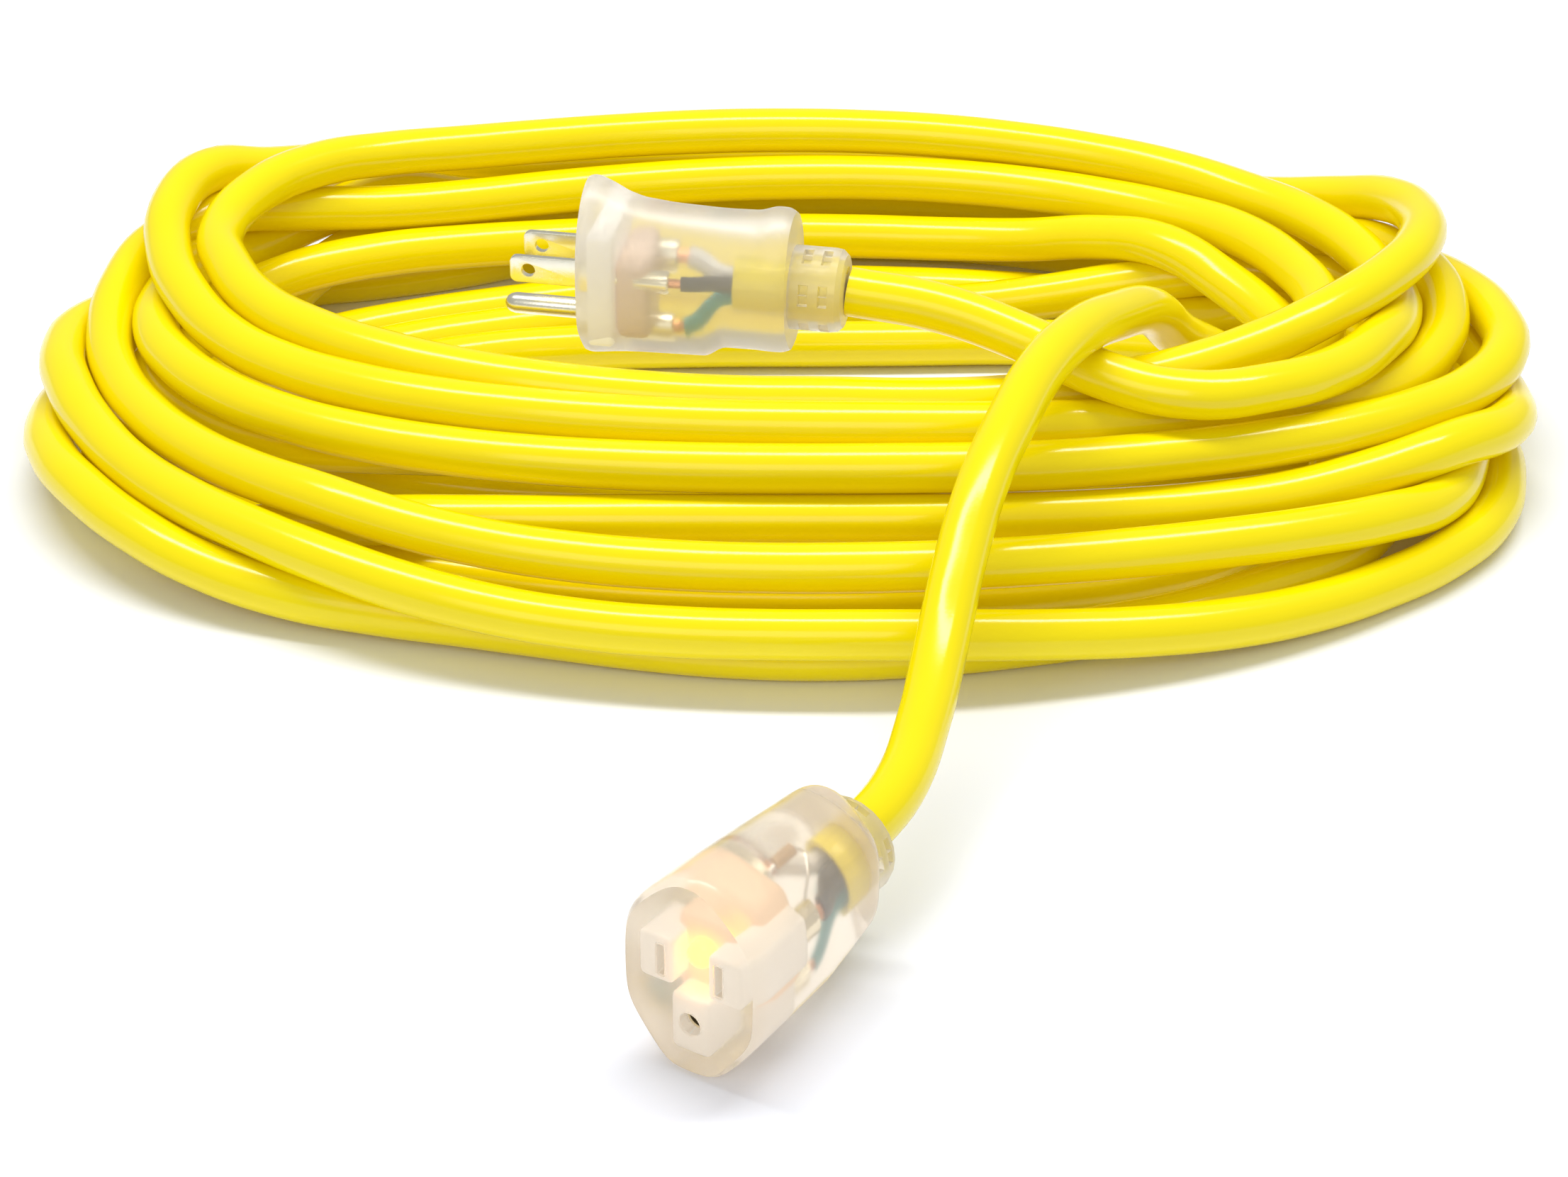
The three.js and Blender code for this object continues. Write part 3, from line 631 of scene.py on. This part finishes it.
# Profiles of turned pieces: radius, and distance along the axis from the end's face.
CRIMP = [(0, -2), (1.4, -2), (1.4, -11.6), (2.2, -12), (2.5, -12.5), (2.5, -19.6), (2.2, -20), (0, -20)]
CRIMP_SIDES = 24
PIN = [
    (0, 19.6), (0.9, 19.45), (1.6, 19.0), (2.1, 18.2), (2.375, 17.1), (2.375, 8), (2.375, -11.6),
    (2.5, -12.5), (2.5, -19.6), (2.2, -20), (0, -20),
]
GROUND_OPENING = [(0, 4), (2.45, 4), (2.45, -3), (3.4, -3), (3.4, -17.8), (0, -17.8)]

BLADE_THICK = 1.5
BLADE_WIDTH = 6.35
BLADE_TIP, BLADE_ROOT = 16.5, -3.0
TIP_ROUND = 1.6
BLADE_EDGE = 0.22
EYE_RADIUS = 1.6
EYE_FROM_TIP = 4.2


def joined(piece, extra):
    """Adds the extra piece's mesh to the piece."""
    bm = bmesh.new()
    bm.from_mesh(piece.data)
    bm.from_mesh(extra.data)
    bm.to_mesh(piece.data)
    bm.free()
    bpy.data.objects.remove(extra)


def blade(name, x):
    """A flat blade with rounded tip corners and a round eye, and behind it the barrel that grips its wire."""
    bm = bmesh.new()
    size = Matrix.Diagonal((BLADE_THICK, BLADE_WIDTH, BLADE_TIP - BLADE_ROOT, 1))
    place = Matrix.Translation((x, BLADE_LINE, (BLADE_TIP + BLADE_ROOT) / 2)) @ size
    bmesh.ops.create_cube(bm, size=1, matrix=place)
    tips = []
    for edge in bm.edges:
        a, b = edge.verts
        if min(a.co.z, b.co.z) > BLADE_TIP - 0.5 and abs(a.co.y - b.co.y) < 0.1:
            tips.append(edge)
    softened(bm, tips, TIP_ROUND, 5)
    softened(bm, [e for e in bm.edges if e.calc_face_angle() > 1], BLADE_EDGE, 2)
    piece = finished(bm, name, PLUG, blade_brass)
    eye = bmesh.new()
    sideways = Matrix.Rotation(math.radians(90), 4, "Y")
    place = Matrix.Translation((x, BLADE_LINE, BLADE_TIP - EYE_FROM_TIP)) @ sideways
    bmesh.ops.create_cone(
        eye, cap_ends=True, segments=32, radius1=EYE_RADIUS, radius2=EYE_RADIUS, depth=4, matrix=place
    )
    cut_from(piece, finished(eye, "hole", PLUG, blade_brass))
    crimp = bmesh.new()
    turned(crimp, CRIMP, x, BLADE_LINE, CRIMP_SIDES)
    joined(piece, finished(crimp, "crimp", PLUG, blade_brass))
    return piece


plug_bm = bmesh.new()
bridged(plug_bm, moulding(plug_bm, PLUG_SHAPE, PLUG_FLATS))
plug_shell = finished(plug_bm, "plug_moulding", PLUG, clear_vinyl)
standing_in(plug_shell, "clear_moulding", "plug_body")

relief_bm = bmesh.new()
collar(relief_bm, radius=9.4, low=-58.5, high=-46.2)
plug_relief = finished(relief_bm, "plug_strain_relief", PLUG, clear_vinyl)
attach(plug_relief, "root")

hot_blade = blade("hot_blade", BLADE_OFFSET)
standing_in(hot_blade, "blade_metal", "plug_hot_blade")
neutral_blade = blade("neutral_blade", -BLADE_OFFSET)
standing_in(neutral_blade, "blade_metal", "plug_neutral_blade")

pin_bm = bmesh.new()
turned(pin_bm, PIN, 0, BLADE_LINE - PIN_DROP)
ground_pin = finished(pin_bm, "ground_pin", PLUG, blade_brass)
standing_in(ground_pin, "blade_metal", "plug_ground_pin")

blade_carrier_bm = bmesh.new()
rounded_block(blade_carrier_bm, width=21, height=27, low=-7.6, high=-1.6, x=0, y=-0.5, edge=1.2)
blade_carrier = finished(blade_carrier_bm, "blade_carrier", PLUG, carrier_white)
standing_in(blade_carrier, "carrier", "plug_blade_carrier")

carrier_stem_bm = bmesh.new()
rounded_block(carrier_stem_bm, width=17, height=18, low=-15.5, high=-7.7, x=0, y=-2.5, edge=2.2)
carrier_stem = finished(carrier_stem_bm, "blade_carrier_stem", PLUG, carrier_peach)
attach(carrier_stem, "root")

# ---------------------------------------------------------------- connector

connector_bm = bmesh.new()
bridged(connector_bm, moulding(connector_bm, CONNECTOR_SHAPE, CONNECTOR_FLATS))
connector_shell = finished(connector_bm, "connector_moulding", CONNECTOR, lit_vinyl)


def cut_openings(piece):
    """Cuts the two blade slots and the round ground opening, each with a wider chamber behind it."""
    ground = bmesh.new()
    turned(ground, GROUND_OPENING, 0, BLADE_LINE - PIN_DROP)
    cut_from(piece, finished(ground, "hole", CONNECTOR, clear_vinyl))
    for x in (-BLADE_OFFSET, BLADE_OFFSET):
        slot = bmesh.new()
        rounded_block(slot, width=2.0, height=7.0, low=-3.4, high=4, x=x, y=BLADE_LINE, edge=0.3)
        cut_from(piece, finished(slot, "hole", CONNECTOR, clear_vinyl))
        chamber = bmesh.new()
        rounded_block(chamber, width=3.7, height=7.8, low=-17.8, high=-3, x=x, y=BLADE_LINE, edge=0.3)
        cut_from(piece, finished(chamber, "hole", CONNECTOR, clear_vinyl))


cut_openings(connector_shell)
standing_in(connector_shell, "clear_moulding", "connector_body")

connector_relief_bm = bmesh.new()
collar(connector_relief_bm, radius=10.5, low=-54.5, high=-45.7)
connector_relief = finished(connector_relief_bm, "connector_strain_relief", CONNECTOR, clear_vinyl)
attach(connector_relief, "root")

# The carrier has a lobe round each contact. The outer two lobes sit a little outside the slots.
CARRIER_REAR = -19.5
LOBE_OUT = 1.2

contact_carrier_bm = bmesh.new()
for lobe_x in (BLADE_OFFSET + LOBE_OUT, -BLADE_OFFSET - LOBE_OUT):
    rounded_block(
        contact_carrier_bm,
        width=7.4, height=10, low=CARRIER_REAR, high=-0.7, x=lobe_x, y=BLADE_LINE, edge=1.2,
    )
rounded_block(
    contact_carrier_bm,
    width=8.6, height=12.5, low=CARRIER_REAR, high=-0.6, x=0, y=BLADE_LINE - PIN_DROP - 0.3, edge=1.4,
)
contact_carrier = finished(contact_carrier_bm, "contact_carrier", CONNECTOR, carrier_white)
cut_openings(contact_carrier)
standing_in(contact_carrier, "carrier", "connector_contact_carrier")

lamp_block_bm = bmesh.new()
rounded_block(lamp_block_bm, width=13, height=18, low=-20.5, high=-9.5, x=0, y=1.5, edge=2.5)
lamp_block = finished(lamp_block_bm, "lamp_block", CONNECTOR, carrier_glow)
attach(lamp_block, "root")

# ---------------------------------------------------------------- the CAD pieces that show through

FINISHES = {
    "lamp_glass": (amber_glass, "lamp"),
    "lamp_resistor": (resistor_clay, "resistor"),
    "lamp_resistor_lead": (tinned_lead, "lead"),
    "lamp_neutral_lead": (tinned_lead, "lead"),
    "resistor_hot_lead": (tinned_lead, "lead"),
}
SLEEVES = {
    "hot": (black_sleeve, "black_insulation"),
    "neutral": (white_sleeve, "white_insulation"),
    "ground": (green_sleeve, "green_insulation"),
}
for end in ("plug", "connector"):
    FINISHES[end + "_jacket_end"] = (yellow_vinyl, "yellow_jacket")
    for pole, sleeve in SLEEVES.items():
        FINISHES[f"{end}_{pole}_conductor"] = sleeve
        FINISHES[f"{end}_{pole}_copper"] = (bare_copper, "copper")
for pole in SLEEVES:
    FINISHES[f"connector_{pole}_contact"] = (blade_brass, "blade_metal")

for node_name, (material, slot_name) in FINISHES.items():
    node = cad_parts[node_name]
    node.data.materials.clear()
    node.data.materials.append(material)

# ---------------------------------------------------------------- the cord joins the two ends

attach(cord, "root")
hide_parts("cord_coil", "cord_plug_tail", "cord_connector_tail")

# ---------------------------------------------------------------- floor and light

FLOOR_HALF = 4  # metres

floor_bm = bmesh.new()
bmesh.ops.create_grid(floor_bm, x_segments=8, y_segments=8, size=FLOOR_HALF)
floor_data = bpy.data.meshes.new("floor")
floor_bm.to_mesh(floor_data)
floor_bm.free()
floor = bpy.data.objects.new("floor", floor_data)
floor.data.materials.append(studio_floor)
bpy.context.scene.collection.objects.link(floor)


def soft_light(name, place, aim, width, depth, power):
    """A soft panel of light: its place and aim in millimetres, its size in metres, its power in watts."""
    data = bpy.data.lights.new(name, "AREA")
    data.shape = "RECTANGLE"
    data.size = width
    data.size_y = depth
    data.energy = power
    lamp = bpy.data.objects.new(name, data)
    bpy.context.scene.collection.objects.link(lamp)
    lamp.location = placed(*place)
    lamp.rotation_euler = (placed(*aim) - lamp.location).to_track_quat("-Z", "Y").to_euler()


soft_light("overhead_panel", place=(0, 160, 1200), aim=(0, 60, 0), width=1.5, depth=0.2, power=15)
soft_light("front_panel", place=(-300, -1300, 900), aim=(0, 40, 20), width=1.2, depth=0.7, power=5)

world = bpy.data.worlds.new("studio")
world.use_nodes = True
room = world.node_tree.nodes["Background"].inputs
room["Color"].default_value = (0.96, 0.98, 1, 1)
room["Strength"].default_value = 0.43
bpy.context.scene.world = world
bpy.context.scene.view_settings.view_transform = "Standard"
